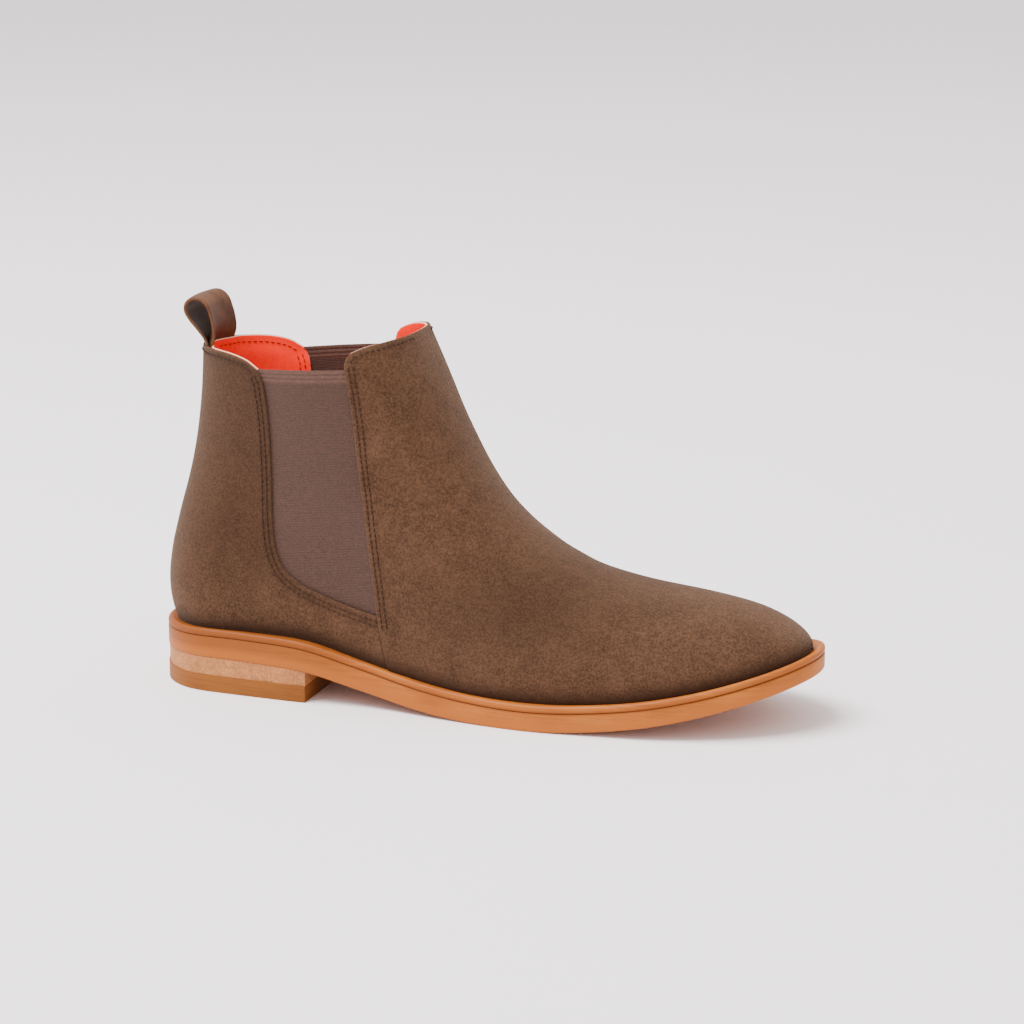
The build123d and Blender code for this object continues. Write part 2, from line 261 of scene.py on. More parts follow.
def slab(name, grid, normals, top, bottom, rings=5):
    # a sheet with thickness between two depths under a grid, its rim rounded over
    nu, nv = grid.shape[:2]
    top = np.broadcast_to(np.asarray(top, float), (nu, nv))[..., None]
    bottom = np.broadcast_to(np.asarray(bottom, float), (nu, nv))[..., None]
    rim = ([(i, 0) for i in range(nu)] + [(nu - 1, j) for j in range(1, nv)]
           + [(i, nv - 1) for i in range(nu - 2, -1, -1)] + [(0, j) for j in range(nv - 2, 0, -1)])
    rimI = np.array([a for a, _ in rim])
    rimJ = np.array([b for _, b in rim])
    edge, up = grid[rimI, rimJ], normals[rimI, rimJ]
    inner = grid[np.clip(rimI, 1, nu - 2), np.clip(rimJ, 1, nv - 2)]
    tangent = np.roll(edge, -2, 0) - np.roll(edge, 2, 0)
    out = np.cross(tangent, up)
    out -= (out * up).sum(-1, keepdims=True) * up
    size = np.linalg.norm(out, axis=-1, keepdims=True)
    out /= np.maximum(size, 1e-9)
    away = edge - inner
    flip = np.sign((out * away).sum(-1, keepdims=True))
    out *= np.where(flip == 0, 1, flip)
    half = (bottom - top)[rimI, rimJ] / 2
    middle = (bottom + top)[rimI, rimJ] / 2
    outerPts = grid - normals * top
    innerPts = grid - normals * bottom
    outerPts[rimI, rimJ] = edge - up * (middle - half) - out * half
    innerPts[rimI, rimJ] = edge - up * (middle + half) - out * half
    verts = [outerPts.reshape(-1, 3), innerPts.reshape(-1, 3)]
    faces = []
    for i in range(nu - 1):
        for j in range(nv - 1):
            a, b, c, d = i * nv + j, (i + 1) * nv + j, (i + 1) * nv + j + 1, i * nv + j + 1
            faces.append((a, b, c, d))
            faces.append((d + nu * nv, c + nu * nv, b + nu * nv, a + nu * nv))
    loops = [rimI * nv + rimJ]
    count = 2 * nu * nv
    for k in range(1, rings + 1):
        a = pi * k / (rings + 1)
        verts.append(edge - up * (middle - half * cos(a)) - out * half * (1 - sin(a)))
        loops.append(np.arange(count, count + len(rim)))
        count += len(rim)
    loops.append(rimI * nv + rimJ + nu * nv)
    for one, two in zip(loops, loops[1:]):
        for k in range(len(rim)):
            m = (k + 1) % len(rim)
            faces.append((int(one[k]), int(one[m]), int(two[m]), int(two[k])))
    obj = meshOf(name, np.concatenate(verts), faces)
    setMark(obj, "rim", np.arange(count) >= 2 * nu * nv)
    return clean(obj)


def rounded(count, power=1.0):
    # fractions from 0 to 1, closer together near 1
    return np.sin(np.linspace(0, pi / 2, count)) ** power


vampSet = dict(columns=104, rows=46, seed=11, swell=0.22, swellSize=55, seamLift=0.75, puffStart=238)
seamRun = polyline(outline["seam"], count=60)
goreFrontEdge = polyline(outline["goreFront"], count=200)
topFrontEdge = polyline(outline["topFront"] + [frontTop], count=80)
leftRun = np.concatenate([seamRun[:-1], goreFrontEdge[:-1], topFrontEdge])
leftRun[0] = (seamFoot, feather(seamFoot) - under)
topFrontRun = np.concatenate([ridgeRun[ridgeZ <= frontTop[1]][::-1], [tip]])
topFrontRun[0] = frontTop
vampLow = lowRun(seamFoot, tipX - 0.1)
vampLow[-1] = tip - (0, under)


def vampGrid(settings):
    # the vamp wraps over the ridge, so its grid runs up the outer side and down the inner one
    u = np.linspace(0, 1, settings["columns"])
    u = 0.55 * u + 0.45 * np.sin(u * pi / 2)
    v = rounded(settings["rows"])
    side = coons(leftRun, np.array([tip - (0, under), tip]), vampLow, topFrontRun, u, v)
    x, z = side[..., 0], side[..., 1]
    outer = place(x, halfWidth(x, z, -1), z)
    inner = place(x, halfWidth(x, z, 1), z)
    return np.concatenate([outer, inner[:, -2::-1]], 1), side


quarterSet = dict(along=120, across=46, seed=23, swell=0.2, swellSize=50)
quarterOuter = np.concatenate([backRun[::-1], lowRun(heelFoot, seamFoot)[1:]])
quarterInner = polyline(outline["goreRear"], count=300)
quarterTop = polyline([(float(along(last["back"], topBackZ)), topBackZ)] + outline["topBack"], count=120)
quarterSeam = seamRun.copy()
quarterSeam[0] = quarterOuter[-1]


def quarterGrid(settings, side):
    # one L-shaped panel: down the back, round the heel and forward under the gore
    u = np.linspace(0, 1, settings["along"])
    v = rounded(settings["across"], 1.5)
    flat = coons(quarterTop, quarterSeam, quarterOuter, quarterInner, u, v)
    x, z = flat[..., 0], flat[..., 1]
    return place(x, halfWidth(x, z, side), z), flat


def outward(grid):
    # normals turned away from the middle of the boot
    n = gridNormals(grid)
    centre = place(120, 0, 70)
    lean = ((grid - centre) * n).sum(-1).mean()
    return n if lean > 0 else -n


def relax(grid, passes=2):
    # evens out small steps along a grid without moving its rim
    for _ in range(passes):
        around = (grid[:-2, 1:-1] + grid[2:, 1:-1] + grid[1:-1, :-2] + grid[1:-1, 2:]) / 4
        grid = grid.copy()
        grid[1:-1, 1:-1] = 0.5 * grid[1:-1, 1:-1] + 0.5 * around
    return grid


# depths of the upper's layers under its outside
depths = dict(suede=1.4, fill=1.41, fillEnd=2.36, core=1.43, coreThick=0.92, tabRoom=2.1, lining=0.95,
              gap=0.01)


def liningDepth(near, tab=0):
    # the lining comes up to the suede at the top edge and stands off where the pull tab is sewn in
    return depths["core"] + depths["coreThick"] * (1 - near) * (1 - tab) + depths["tabRoom"] * tab


vampPts, vampSide = vampGrid(vampSet)
vampPts = relax(vampPts)
vampN = outward(vampPts)
vampU = np.linspace(0, 1, vampSet["columns"])[:, None]
seamLift = vampSet["seamLift"] * (1 - ease(0.0, 0.05, vampU)) * (1 - ease(38, 50, vampPts[..., 2]))
vampSwell = waves(vampPts, vampSet["seed"], vampSet["swellSize"], vampSet["swell"])
vamp = slab("vampSuede", vampPts, vampN, -vampSwell - seamLift, depths["suede"] - seamLift * 0.6)
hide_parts("vamp")
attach(vamp, "boot")
print("vamp", len(vamp.data.polygons))


def toTop(flat, edge):
    # how near each place is to the open top edge, 1 at the edge and 0 from 9 mm below
    gap = np.full(flat.shape[:2], 99.0)
    for p in edge[::4]:
        gap = np.minimum(gap, np.hypot(flat[..., 0] - p[0], flat[..., 1] - p[1]))
    return 1 - ease(1.5, 9, gap)


def mirrored(values):
    # values of the vamp's outer side carried on over the ridge
    return np.concatenate([values, values[:, -2::-1]], 1)


core = liningDepth(mirrored(toTop(vampSide, topFrontEdge)))
puffFrom = int(np.argmin(np.abs(vampSide[:, 0, 0] - vampSet["puffStart"]))) + 1  # the toe puff's first column
stiff = {}
for name, part in (("vampInterlining", slice(0, puffFrom)), ("toePuff", slice(puffFrom, None))):
    stiff[name] = slab(name, vampPts[part], vampN[part], depths["fill"], core[part] - depths["gap"], rings=2)
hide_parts("vamp_interlining")
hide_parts("toe_puff")
linings = [slab("vampLining", vampPts, vampN, core, core + depths["lining"], rings=3)]
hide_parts("vamp_lining")

quarters = {}
tabHalf = 13.0
rows = slice(2, int(quarterSet["along"] * 0.34))  # of the interlined part of the grid
cols = slice(0, int(quarterSet["across"] * 0.8))
for side, end, node in ((-1, "Outer", "quarter_lateral"), (1, "Inner", "quarter_medial")):
    pts, flat = quarterGrid(quarterSet, side)
    pts = relax(pts)
    n = outward(pts)
    swell = waves(pts, quarterSet["seed"], quarterSet["swellSize"], quarterSet["swell"])
    near = toTop(flat, quarterTop)
    away = np.abs(pts[..., 1] - axisY)
    x, z = flat[..., 0], flat[..., 1]
    tab = (1 - ease(tabHalf - 1, tabHalf + 5, away)) * (1 - ease(24, 34, x)) * ease(118, 140, z)
    core = liningDepth(near, tab)
    suede = slab("quarterSuede" + end, pts, n, -swell, depths["suede"])
    lining = slab("quarterLining" + end, pts, n, core, core + depths["lining"], rings=3)
    filling = slab("quarterInterlining" + end, pts[rows, cols], n[rows, cols], depths["fill"],
                   np.minimum(core, depths["fillEnd"])[rows, cols] - depths["gap"], rings=2)
    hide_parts(node)
    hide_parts("quarter_lining")
    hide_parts("quarter_interlining")
    linings.append(lining)
    stiff[filling.name] = filling
    quarters[side] = suede
for obj in [*quarters.values(), *linings, *stiff.values()]:
    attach(obj, "boot")
print("quarters and linings")

goreSet = dict(pitch=0.72, depth=0.1, bandPitch=1.9, bandDepth=0.2, band=5.9, slope=0.07, tuckIn=4.0,
               samples=5, columns=30, outside=1.42, inside=2.3, top=146.5, foot=33.6, corner=53.5, puff=0.35,
               narrowest=2.5)


def offsetRun(run, by):
    # a side-view run moved sideways, to the right of its way
    d = np.gradient(run, axis=0)
    d /= np.maximum(np.hypot(d[:, 0], d[:, 1])[:, None], 1e-6)
    return run + np.stack([d[:, 1], -d[:, 0]], -1) * by


rearRun = offsetRun(quarterInner, goreSet["tuckIn"])
rearRun = rearRun[np.argsort(rearRun[:, 1])]
frontRun = goreFrontEdge + (goreSet["tuckIn"], 0)


def goreMesh(name, side, settings):
    # ribbed elastic with its edges under the suede; the ribs climb a little toward the front
    top, slope, corner = settings["top"], settings["slope"], settings["corner"]
    step = settings["pitch"] / settings["samples"]
    levels = np.arange(top, settings["foot"], -step)[::-1]
    rear = np.full(len(levels), 52.0)  # first guesses
    front = np.full(len(levels), 100.0)
    for _ in range(8):  # settles where each sloping rib meets the two edges
        rear = np.interp(levels + slope * (rear - corner), rearRun[:, 1], rearRun[:, 0])
        front = np.interp(levels + slope * (front - corner), frontRun[:, 1], frontRun[:, 0])
    tuck = settings["tuckIn"] * ease(135, 145.5, levels) * 0.8
    rear, front = rear + tuck, front - tuck
    keep = front - rear > settings["narrowest"]
    levels, rear, front = levels[keep], rear[keep], front[keep]
    across = np.linspace(0, 1, settings["columns"])
    x = rear[:, None] + (front - rear)[:, None] * across
    z = levels[:, None] + slope * (x - corner)
    pts = place(x, halfWidth(x, z, side), z)
    n = outward(pts)
    inBand = levels > top - settings["band"]
    fine = 0.5 - 0.5 * np.cos(2 * pi * (levels - top) / settings["pitch"])
    coarse = np.abs(np.sin(pi * (levels - top) / settings["bandPitch"]))
    crest = np.where(inBand, coarse, fine)
    depth = np.where(inBand, settings["bandDepth"], settings["depth"])
    lift = (crest * depth)[:, None]
    puff = settings["puff"] * np.sin(pi * across)[None] * ease(40, 60, levels)[:, None]
    obj = slab(name, pts, n, settings["outside"] - lift - puff, settings["inside"] + lift - puff, rings=2)
    at = spots(obj)
    level = at[:, 2] - slope * (at[:, 0] - heelX - corner)
    # the crest mark is 1 on the ribs' tops and 0 in the grooves; the elastic paint darkens the grooves with
    # it as painted shade
    setMark(obj, "crest", np.interp(level, levels, crest))
    setMark(obj, "band", np.interp(level, levels, inBand.astype(float)))
    return obj


gores = {}
for side, name, node in ((-1, "goreOuter", "gore_lateral"), (1, "goreInner", "gore_medial")):
    gores[side] = goreMesh(name, side, goreSet)
    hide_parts(node)
    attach(gores[side], "boot")
print("gores", len(gores[-1].data.polygons))

tabSet = dict(thick=1.6, thin=0.95, samples=150, around=9, across=14, straighten=0.75, bendBelow=2.0,
              bendAbove=3.5,
              path=[(19.0, 134), (19.4, 146), (19.8, 151.5), (19.0, 155), (16.5, 159.4), (13.8, 163.6),
                    (12.4, 167.4), (13.2, 170.8), (16.1, 173), (19.9, 172.9), (22.9, 170.4), (24.0, 166),
                    (23.9, 160.5), (22.8, 155.5), (21.3, 151.5), (20.3, 146), (20.0, 134)])


def backBend(y, height=148.0):
    # how far forward the back of the shaft has come at a distance from its middle line
    x = along(last["back"], height) + np.linspace(0, 20, 400)
    wide = halfWidth(x, np.full(400, height), 1)
    return np.interp(np.abs(y), wide, x - x[0])


def strip(name, settings):
    # one strap that comes out between quarter and lining, goes round a loop and back in
    run = polyline(settings["path"], count=settings["samples"])
    d = np.gradient(run, axis=0)
    d /= np.hypot(d[:, 0], d[:, 1])[:, None]
    n = np.stack([-d[:, 1], d[:, 0]], -1)
    full = ease(150.5, 158, run[:, 1])
    thick = settings["thin"] + (settings["thick"] - settings["thin"]) * full
    loops = []
    for p, q, t, wide in zip(run, n, thick, full):
        ring = []
        half = tabHalf - 0.35 * (1 - wide)
        for k in range(settings["around"]):
            a = -pi / 2 + pi * k / (settings["around"] - 1)
            ring.append((cos(a) * t / 2 + half - t / 2, sin(a) * t / 2))
        steps = [k / settings["across"] for k in range(1, settings["across"])]
        mid = [(half * (1 - 2 * k) * 0.94, t / 2 * (1 + 0.05 * sin(pi * k))) for k in steps]  # a little domed
        right = [(-w, -h) for w, h in ring]
        low = [(-w, -h) for w, h in mid]
        loops.append([(p[0] + q[0] * h, w, p[1] + q[1] * h) for w, h in ring + mid + right + low])
    count = len(loops[0])
    verts = [v for loop in loops for v in loop]
    faces = []
    for i in range(len(loops) - 1):
        for k in range(count):
            m = (k + 1) % count
            faces.append((i * count + k, i * count + m, (i + 1) * count + m, (i + 1) * count + k))
    faces.append(tuple(range(count))[::-1])
    faces.append(tuple(range(len(verts) - count, len(verts))))
    at = np.array(verts)
    at[:, 0] += backBend(at[:, 1]) * (1 - settings["straighten"] * ease(151, 172, at[:, 2]))
    return clean(meshOf(name, place(at[:, 0], at[:, 1], at[:, 2]), faces), smoothAngle=60)


tab = strip("pullTab", tabSet)
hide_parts("pull_tab_loop", "pull_tab_ends")
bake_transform(tab)
print("pull tab")

soleSet = dict(tip=(300.3, 3), toeFrom=215, toeLength=85.3, toeOuter=47.5, toeInner=52.5, points=360)


def closedCurve(points, count):
    # periodic cubic through a ring of points, at even steps
    pts = np.array(points, float)
    m = len(pts)
    h = np.hypot(*(np.roll(pts, -1, 0) - pts).T)
    before = np.roll(h, 1)
    matrix = np.zeros((m, m))
    right = np.zeros((m, 2))
    for i in range(m):
        matrix[i, i - 1] += before[i]
        matrix[i, i] += 2 * (before[i] + h[i])
        matrix[i, (i + 1) % m] += h[i]
        right[i] = 6 * ((pts[(i + 1) % m] - pts[i]) / h[i] - (pts[i] - pts[i - 1]) / before[i])
    bend = np.linalg.solve(matrix, right)
    at = np.linspace(0, h.sum(), count, endpoint=False)
    start = np.r_[0, np.cumsum(h)]
    i = np.clip(np.searchsorted(start, at, side="right") - 1, 0, m - 1)
    j = (i + 1) % m
    u = ((at - start[i]) / h[i])[:, None]
    w = 1 - u
    sixth = (h[i] ** 2)[:, None] / 6
    return w * pts[i] + u * pts[j] + ((w ** 3 - w) * bend[i] + (u ** 3 - u) * bend[j]) * sixth


def soleRing(settings):
    # outline of the sole seen from above with its outward directions: round heel, elliptical toe
    outer, inner = [], []
    for k in range(4):
        a = pi / 2 * k / 4
        outer.append((heelRound * (1 - cos(a)), -heelRound * sin(a)))
        inner.append((heelRound * (1 - cos(a)), heelRound * sin(a)))
    for x in (34, 55, 77, 100, 130, 160, 187):
        outer.append((x, -float(along(last["outer"], x))))
        inner.append((x, float(along(last["inner"], x))))
    for k in range(8):
        a = pi / 2 * k / 8
        x, middle = settings["toeFrom"] + settings["toeLength"] * sin(a), settings["tip"][1] * sin(a) ** 2
        outer.append((x, middle - settings["toeOuter"] * cos(a)))
        inner.append((x, middle + settings["toeInner"] * cos(a)))
    ring = closedCurve(outer + [settings["tip"]] + inner[:0:-1], settings["points"])
    d = np.roll(ring, -1, 0) - np.roll(ring, 1, 0)
    d /= np.hypot(d[:, 0], d[:, 1])[:, None]
    out = np.stack([d[:, 1], -d[:, 0]], -1)
    return ring, out


ring, ringOut = soleRing(soleSet)


def sweep(name, profile, base):
    # a closed profile of (inward, up) carried round the sole's edge; base gives the height it starts from
    rows = []
    for inward, up in profile:
        at = ring - ringOut * inward
        rows.append(place(at[:, 0], at[:, 1], base(at[:, 0]) + up))
    m = len(ring)
    faces = []
    for r in range(len(rows)):
        q = (r + 1) % len(rows)
        for k in range(m):
            n = (k + 1) % m
            faces.append((r * m + k, r * m + n, q * m + n, q * m + k))
    return clean(meshOf(name, np.concatenate(rows), faces), smoothAngle=50)


weltSet = dict(thick=3.2, profile=[(0.5, -3.15), (0.15, -2.9), (0.0, -2.4), (0.0, -1.7), (0.14, -1.05),
                                   (0.5, -0.5), (1.05, -0.12), (1.7, 0.0), (2.4, -0.12), (3.1, -0.45),
                                   (3.9, -0.62), (8.0, -0.75), (13.0, -0.8), (13.2, -3.1)])
welt = sweep("weltBead", weltSet["profile"], feather)
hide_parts("welt")


def outsoleTop(x):
    return feather(x) - weltSet["thick"]


# each row is inward, up, and how far down from the outsole's top to its underside
outsoleSet = dict(cap=14, rows=[(6.0, 0.0, 0), (0.9, 0.0, 0), (0.45, -0.12, 0), (0.12, -0.45, 0),
                                (0.0, -0.95, 0), (0.0, 0, 0.4), (0.0, 0, 0.7), (0.0, 0.9, 1), (0.1, 0.45, 1),
                                (0.4, 0.1, 1), (0.9, 0.0, 1)])


def outsoleMesh(name, settings):
    # the edge rows, then a flat grid that closes the top and one that closes the underside
    m = len(ring)
    rows = []
    for inward, up, down in settings["rows"]:
        at = ring - ringOut * inward
        z = outsoleTop(at[:, 0]) * (1 - down) + floorAt(at[:, 0]) * down + up
        rows.append(place(at[:, 0], at[:, 1], z))
    verts = list(rows)
    faces = []
    for r in range(len(rows) - 1):
        for k in range(m):
            n = (k + 1) % m
            faces.append((r * m + k, r * m + n, (r + 1) * m + n, (r + 1) * m + k))
    total, half, cap = len(rows) * m, m // 2, settings["cap"]
    for r, height in ((0, outsoleTop), (len(rows) - 1, floorAt)):
        grid = []
        for k in range(1, half):
            a, b = rows[r][k], rows[r][m - k]
            line = [r * m + k]
            inside = a + (b - a) * (np.arange(1, cap) / cap)[:, None]
            inside[:, 2] = height(inside[:, 0] - heelX)
            verts.append(inside)
            line += list(range(total, total + cap - 1)) + [r * m + m - k]
            total += cap - 1
            grid.append(line)
        for one, two in zip(grid, grid[1:]):
            for c in range(cap):
                faces.append((one[c], one[c + 1], two[c + 1], two[c]))
        for end, line in ((r * m, grid[0]), (r * m + half, grid[-1])):
            for c in range(cap):
                faces.append((end, line[c], line[c + 1]))
    return clean(meshOf(name, np.concatenate(verts), faces), smoothAngle=50)


outsole = outsoleMesh("outsoleEdge", outsoleSet)
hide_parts("outsole")
for obj in (welt, outsole):
    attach(obj, "boot")
print("sole")

# rows are distances in from a piece's edge, and lift is a row's height above the leather
stitchSet = dict(step=2.5, length=1.6, radius=0.3, rise=0.34, lift=0.12, goreRows=(2.2, 4.4), topRow=2.4,
                 liningRows=(2.4, 4.6), liningTopRow=3.0)


def stitchTree(settings):
    # lays one short arc of thread at each step along a run
    tree = bpy.data.node_groups.new("stitchRun", "GeometryNodeTree")
    face = tree.interface
    face.new_socket("Geometry", in_out="INPUT", socket_type="NodeSocketGeometry")
    for label in ("Step", "Length", "Radius", "Rise"):
        item = face.new_socket(label, in_out="INPUT", socket_type="NodeSocketFloat")
        item.default_value = settings[label.lower()] * mm
    face.new_socket("Thread", in_out="INPUT", socket_type="NodeSocketMaterial")
    face.new_socket("Geometry", in_out="OUTPUT", socket_type="NodeSocketGeometry")

    def node(kind, fixed=None, **links):
        made = tree.nodes.new(kind)
        for key, value in (fixed or {}).items():
            setattr(made, key, value)
        for key, source in links.items():
            socket = made.inputs[key.replace("_", " ")]
            if hasattr(source, "is_output"):
                tree.links.new(source, socket)
            else:
                socket.default_value = source
        return made

    def times(source, factor):
        made = node("ShaderNodeMath", dict(operation="MULTIPLY"), Value=source)
        made.inputs[1].default_value = factor
        return made.outputs[0]

    given = node("NodeGroupInput").outputs
    run = node("GeometryNodeMeshToCurve", Mesh=given["Geometry"]).outputs[0]
    even = node("GeometryNodeResampleCurve", dict(mode="LENGTH"), Curve=run, Length=given["Step"]).outputs[0]
    half = times(given["Length"], 0.5)
    ends = [node("ShaderNodeCombineXYZ", X=times(half, -1)), node("ShaderNodeCombineXYZ", Z=given["Rise"]),
            node("ShaderNodeCombineXYZ", X=half)]
    start, middle, end = (point.outputs[0] for point in ends)
    arc = node("GeometryNodeCurveQuadraticBezier", Resolution=6, Start=start, Middle=middle, End=end)
    rim = node("GeometryNodeCurvePrimitiveCircle", dict(mode="RADIUS"), Resolution=6, Radius=given["Radius"])
    thread = node("GeometryNodeCurveToMesh", Curve=arc.outputs[0], Profile_Curve=rim.outputs[0],
                  Fill_Caps=True)
    tangent = node("GeometryNodeInputTangent").outputs[0]
    skin = node("GeometryNodeInputNamedAttribute", dict(data_type="FLOAT_VECTOR"), Name="skinNormal")
    ahead = node("FunctionNodeAlignRotationToVector", dict(axis="X"), Vector=tangent)
    turned = node("FunctionNodeAlignRotationToVector", dict(axis="Z", pivot_axis="X"),
                  Rotation=ahead.outputs[0], Vector=skin.outputs[0])
    laid = node("GeometryNodeInstanceOnPoints", Points=even, Instance=thread.outputs[0],
                Rotation=turned.outputs[0])
    real = node("GeometryNodeRealizeInstances", Geometry=laid.outputs[0]).outputs[0]
    paint = node("GeometryNodeSetMaterial", Geometry=real, Material=given["Thread"]).outputs[0]
    tree.links.new(paint, node("NodeGroupOutput").inputs[0])
    return tree


stitchGroup = stitchTree(stitchSet)
threadMaterial = bpy.data.materials.new("thread")


def skinAt(run, side, onto, inside=False):
    # points and normals of a panel's outside, or inside, along a side-view run
    x, z = run[:, 0], run[:, 1]
    d = 0.4
    at = place(x, halfWidth(x, z, side), z)
    ahead = place(x + d, halfWidth(x + d, z, side), z) - place(x - d, halfWidth(x - d, z, side), z)
    above = place(x, halfWidth(x, z + d, side), z + d) - place(x, halfWidth(x, z - d, side), z - d)
    n = np.cross(ahead, above)
    n /= np.linalg.norm(n, axis=-1, keepdims=True)
    n *= np.sign(n[:, 1:2]) * (-side if inside else side)
    reach = 9 if inside else 4
    points, good = [], []
    for p, q in zip(at, n):
        spot, _, _, distance = onto.ray_cast(Vector((p + q * reach) * mm), Vector(-q))
        if spot is None or distance > 9 * mm:
            continue
        points.append(np.array(spot) / mm)
        good.append(q)
    return np.array(points), np.array(good)


def stitchRun(name, runs, material, sizes=None):
    # one object holding the stitches of several runs, each a list of points with normals
    verts, edges, normals = [], [], []
    for pts, n in runs:
        start = len(verts)
        verts += [tuple((p + q * stitchSet["lift"]) * mm) for p, q in zip(pts, n)]
        normals += [tuple(q) for q in n]
        edges += [(start + k, start + k + 1) for k in range(len(pts) - 1)]
    mesh = bpy.data.meshes.new(name)
    mesh.from_pydata(verts, edges, [])
    layer = mesh.attributes.new("skinNormal", "FLOAT_VECTOR", "POINT")
    layer.data.foreach_set("vector", np.array(normals, np.float32).ravel())
    obj = bpy.data.objects.new(name, mesh)
    bpy.context.collection.objects.link(obj)
    mod = obj.modifiers.new("stitches", "NODES")
    mod.node_group = stitchGroup
    for item in stitchGroup.interface.items_tree:
        if item.item_type == "SOCKET" and item.in_out == "INPUT":
            if item.name == "Thread":
                mod[item.identifier] = material
            elif item.name in (sizes or {}):
                mod[item.identifier] = sizes[item.name] * mm
    bpy.context.view_layer.update()
    graph = bpy.context.evaluated_depsgraph_get()
    plain = bpy.data.meshes.new_from_object(obj.evaluated_get(graph))
    obj.modifiers.remove(mod)
    obj.data = plain
    for p in plain.polygons:
        p.use_smooth = True
    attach(obj, "boot")
    return obj


goreRearRun = polyline(outline["goreRear"], count=400)
goreFrontRun = polyline([(110.6, 36.5)] + outline["goreFront"], count=300)


def skinTree(obj):
    # for casting rays onto a piece
    return BVHTree.FromObject(obj, bpy.context.evaluated_depsgraph_get())


runs = []
front = skinTree(vamp)
for side in (-1, 1):
    rear = skinTree(quarters[side])
    for by in stitchSet["goreRows"]:
        runs.append(skinAt(offsetRun(goreRearRun, by)[8:], side, rear))
        runs.append(skinAt(offsetRun(goreFrontRun, by), side, front))
    runs.append(skinAt(offsetRun(quarterTop, stitchSet["topRow"])[2:-6], side, rear))
    topAhead = polyline(outline["topFront"][1:] + [(frontTop[0] - 0.6, frontTop[1])], count=120)
    runs.append(skinAt(offsetRun(topAhead, stitchSet["topRow"])[8:], side, front))
stitches = stitchRun("upperStitches", runs, threadMaterial)
liningThread = bpy.data.materials.new("liningThread")
runs = []
for side, name in ((-1, "quarterLiningOuter"), (1, "quarterLiningInner")):
    back = skinTree(bpy.data.objects[name])
    runs.append(skinAt(offsetRun(quarterTop, stitchSet["liningTopRow"])[4:-8], side, back, inside=True))
    for by in stitchSet["liningRows"]:
        runs.append(skinAt(offsetRun(goreRearRun, by)[10:-20], side, back, inside=True))
liningStitches = stitchRun("liningStitches", runs, liningThread, sizes=dict(Radius=0.24, Rise=0.3))
print("stitches", len(stitches.data.polygons), len(liningStitches.data.polygons))


def linear(*rgb):
    # typed 0 to 255 colour to the linear values shaders take
    return tuple(c / 255 / 12.92 if c < 11 else ((c / 255 + 0.055) / 1.055) ** 2.4 for c in rgb)


class Wire:
    # a shader socket that can be added, multiplied and mixed like a number

    def __init__(self, tree, socket):
        self.tree, self.socket = tree, socket

    def maths(self, operation, other, swap=False):
        node = self.tree.nodes.new("ShaderNodeMath")
        node.operation = operation
        for k, value in enumerate((other, self) if swap else (self, other)):
            if isinstance(value, Wire):
                self.tree.links.new(value.socket, node.inputs[k])
            else:
                node.inputs[k].default_value = value
        return Wire(self.tree, node.outputs[0])

    def __add__(self, other):
        return self.maths("ADD", other)

    def __sub__(self, other):
        return self.maths("SUBTRACT", other)

    def __mul__(self, other):
        return self.maths("MULTIPLY", other)

    def __rsub__(self, other):
        return self.maths("SUBTRACT", other, swap=True)

    __radd__, __rmul__ = __add__, __mul__

    def over(self, low, high):
        # 0 below low, 1 above high, eased between
        node = self.tree.nodes.new("ShaderNodeMapRange")
        node.interpolation_type = "SMOOTHSTEP"
        self.tree.links.new(self.socket, node.inputs["Value"])
        node.inputs["From Min"].default_value, node.inputs["From Max"].default_value = low, high
        return Wire(self.tree, node.outputs[0])

    def blend(self, one, two):
        # one where this is 0, two where it is 1; colours or wires
        node = self.tree.nodes.new("ShaderNodeMix")
        node.data_type = "RGBA"
        self.tree.links.new(self.socket, node.inputs["Factor"])
        for label, value in (("A", one), ("B", two)):
            socket = [i for i in node.inputs if i.name == label and i.type == "RGBA"][0]
            if isinstance(value, Wire):
                self.tree.links.new(value.socket, socket)
            else:
                socket.default_value = (*value, 1)
        return Wire(self.tree, [o for o in node.outputs if o.type == "RGBA"][0])


